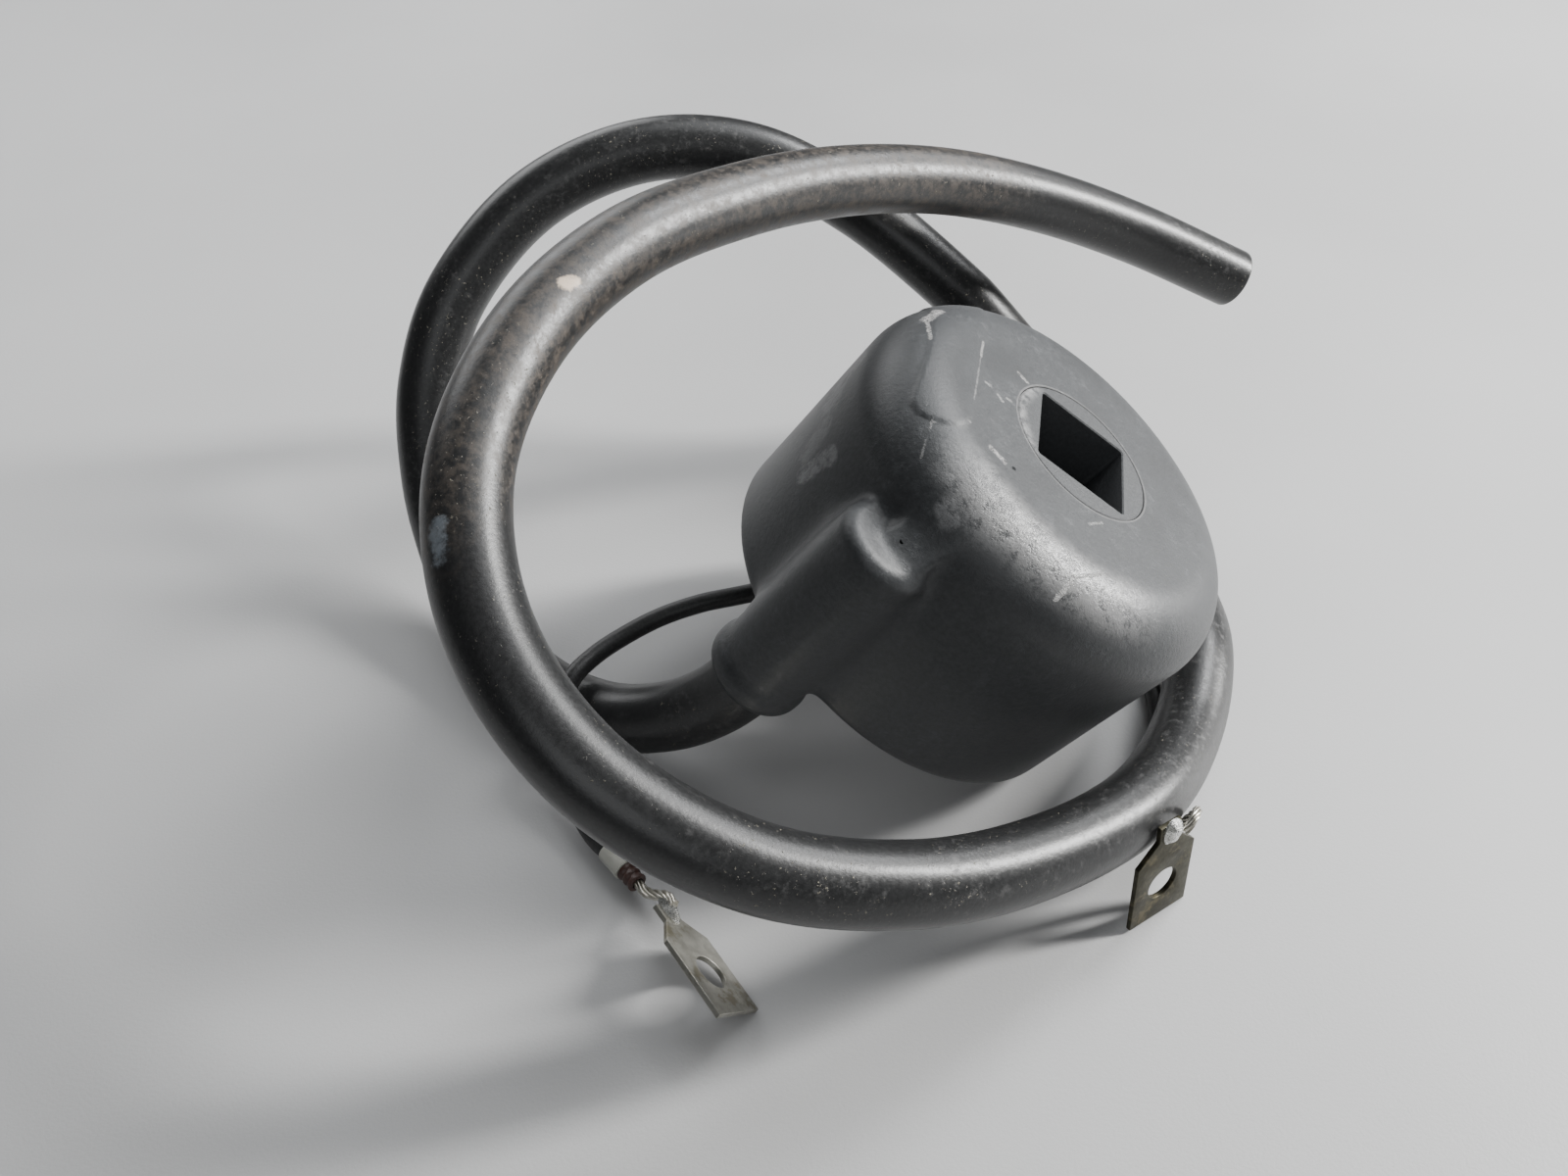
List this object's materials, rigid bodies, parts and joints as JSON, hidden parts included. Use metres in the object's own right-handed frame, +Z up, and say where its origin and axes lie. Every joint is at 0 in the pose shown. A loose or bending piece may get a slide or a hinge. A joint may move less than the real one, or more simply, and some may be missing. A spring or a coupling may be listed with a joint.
{
  "type": "moulded high-tension ignition coil",
  "caption": "Round encapsulated ignition coil with a square core window, a thick output lead that curls round it and thin flying leads that end in flat screw tabs.",
  "frame": {"origin": "on the bench, below the middle of the moulded coil's own box, leads left out", "axes": "+Z up off the bench; +X is the way the coil leans, so its front face looks to +X and up; -Y is towards the tower and the screw tabs"},
  "size_m": [0.0993, 0.0976, 0.0515],
  "materials": {
    "moulding": "matte",
    "former": "satin",
    "cheek_board": "matte",
    "primary_wire": "satin",
    "secondary_wire": "satin",
    "paper": "matte",
    "tape": "matte",
    "contact_brass": "satin",
    "steel": "brushed",
    "lead_rubber": "satin",
    "copper": "dull",
    "flying_lead": "satin",
    "clear_sleeve": "clear, cloudy",
    "dark_barrel": "matte",
    "tinned_wire": "tinned",
    "solder": "bright",
    "tab_metal": "dull tinned"
  },
  "bodies": {
    "root": {"coil_case": "moulding", "core_former": "former", "front_cheek": "cheek_board", "rear_cheek": "cheek_board", "primary_winding": "primary_wire", "winding_paper": "paper", "secondary_winding": "secondary_wire", "outer_wrap": "tape", "ht_tail": "secondary_wire", "ht_contact": "contact_brass", "ht_spike": "steel", "ht_lead": "lead_rubber", "ht_conductor": "copper", "flying_lead_1": "flying_lead", "flying_lead_2": "flying_lead", "lead_joint_1": "solder", "lead_joint_2": "solder", "lead_sleeve": "clear_sleeve", "lead_ferrule": "dark_barrel", "bare_strands_1": "tinned_wire", "bare_strands_2": "tinned_wire", "solder_joint_1": "solder", "solder_joint_2": "solder", "screw_tab_1": "tab_metal", "screw_tab_2": "tab_metal"}
  },
  "joints": []
}
